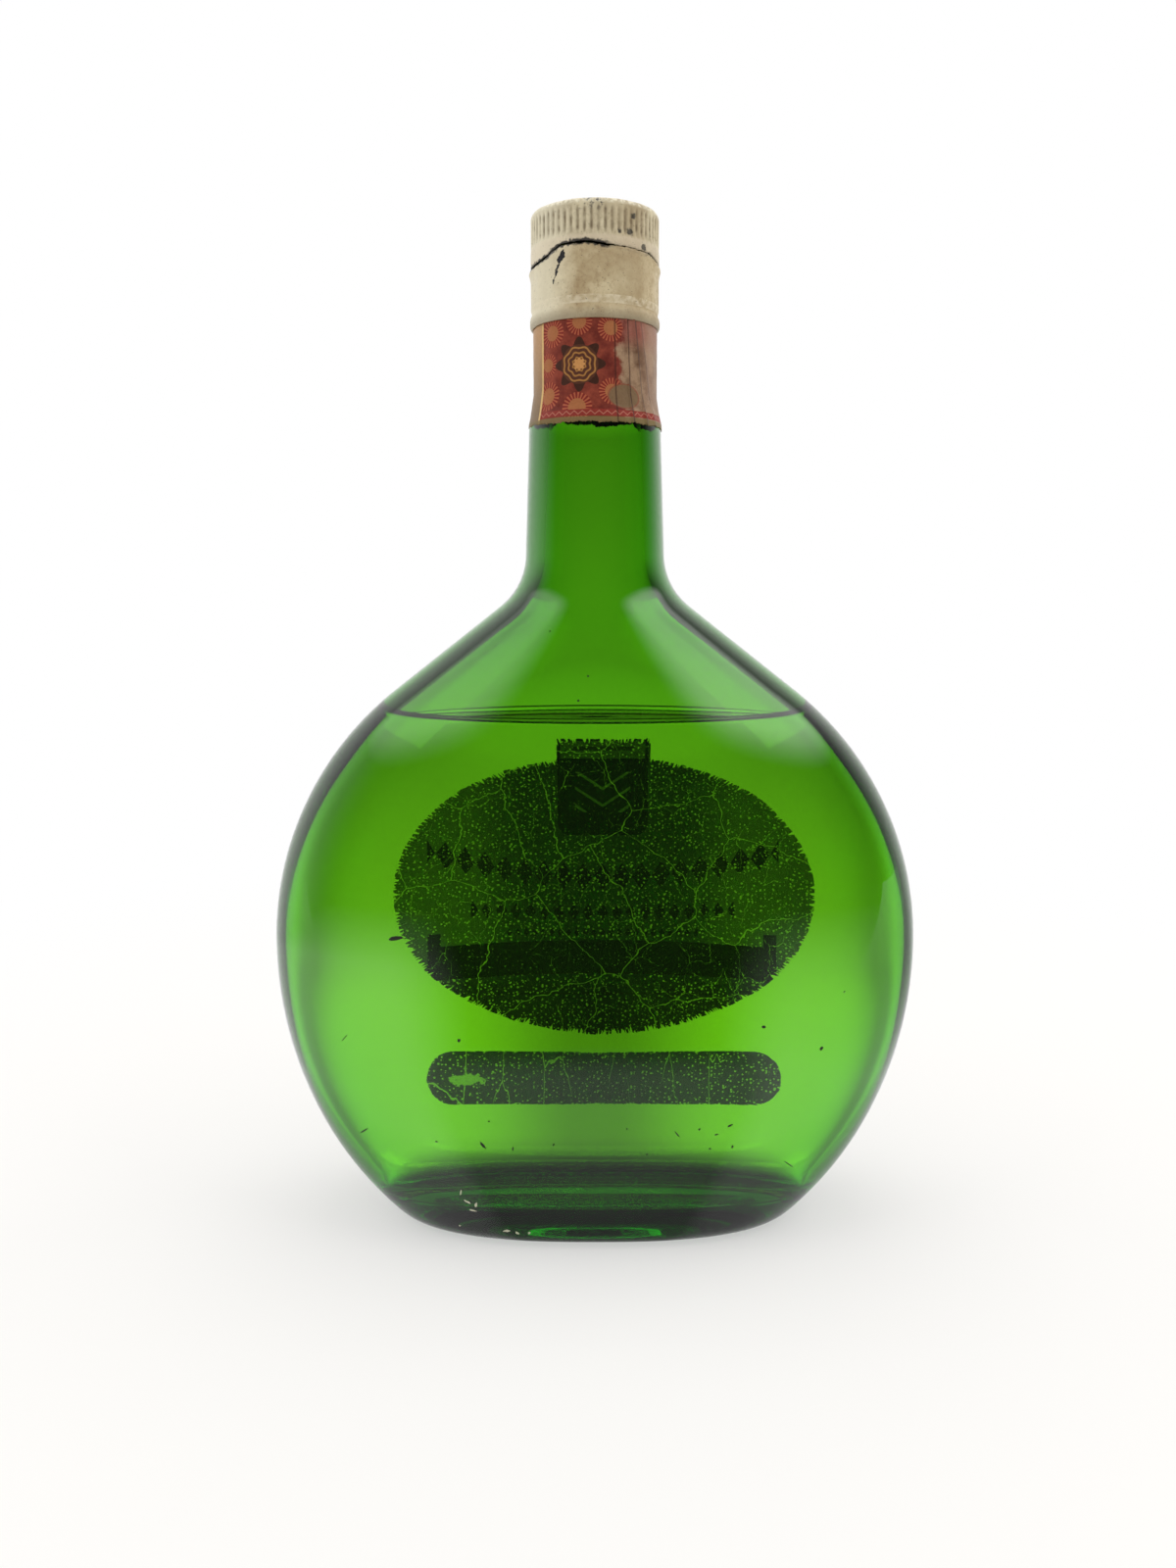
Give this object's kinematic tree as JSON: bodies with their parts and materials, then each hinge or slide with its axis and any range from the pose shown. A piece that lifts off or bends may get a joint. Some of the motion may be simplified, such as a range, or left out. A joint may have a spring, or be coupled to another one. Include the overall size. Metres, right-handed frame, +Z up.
{
  "type": "bottle of brandy",
  "caption": "Flat round green glass bottle partly filled with brandy, with a torn ridged screw cap, paper neck strip and oval label.",
  "frame": {"origin": "middle of the foot, on the plane it stands on", "axes": "+Z up the neck, X across the wide way, +Y out of the labelled front"},
  "size_m": [0.1564, 0.0682, 0.2398],
  "materials": {
    "green_glass": "smooth bottle glass, tinted green",
    "brandy": "clear pale amber liquid",
    "cap_paint": "worn satin paint on aluminium",
    "skirt_paint": "stained satin paint on aluminium",
    "strip_paper": "printed and creased paper",
    "label_paper": "printed paper, cracked and chipped"
  },
  "bodies": {
    "root": {"glass_bottle": "green_glass", "brandy": "brandy", "cap_top": "cap_paint", "cap_skirt": "skirt_paint", "neck_strip": "strip_paper", "front_label": "label_paper", "lower_label": "label_paper"}
  },
  "joints": []
}
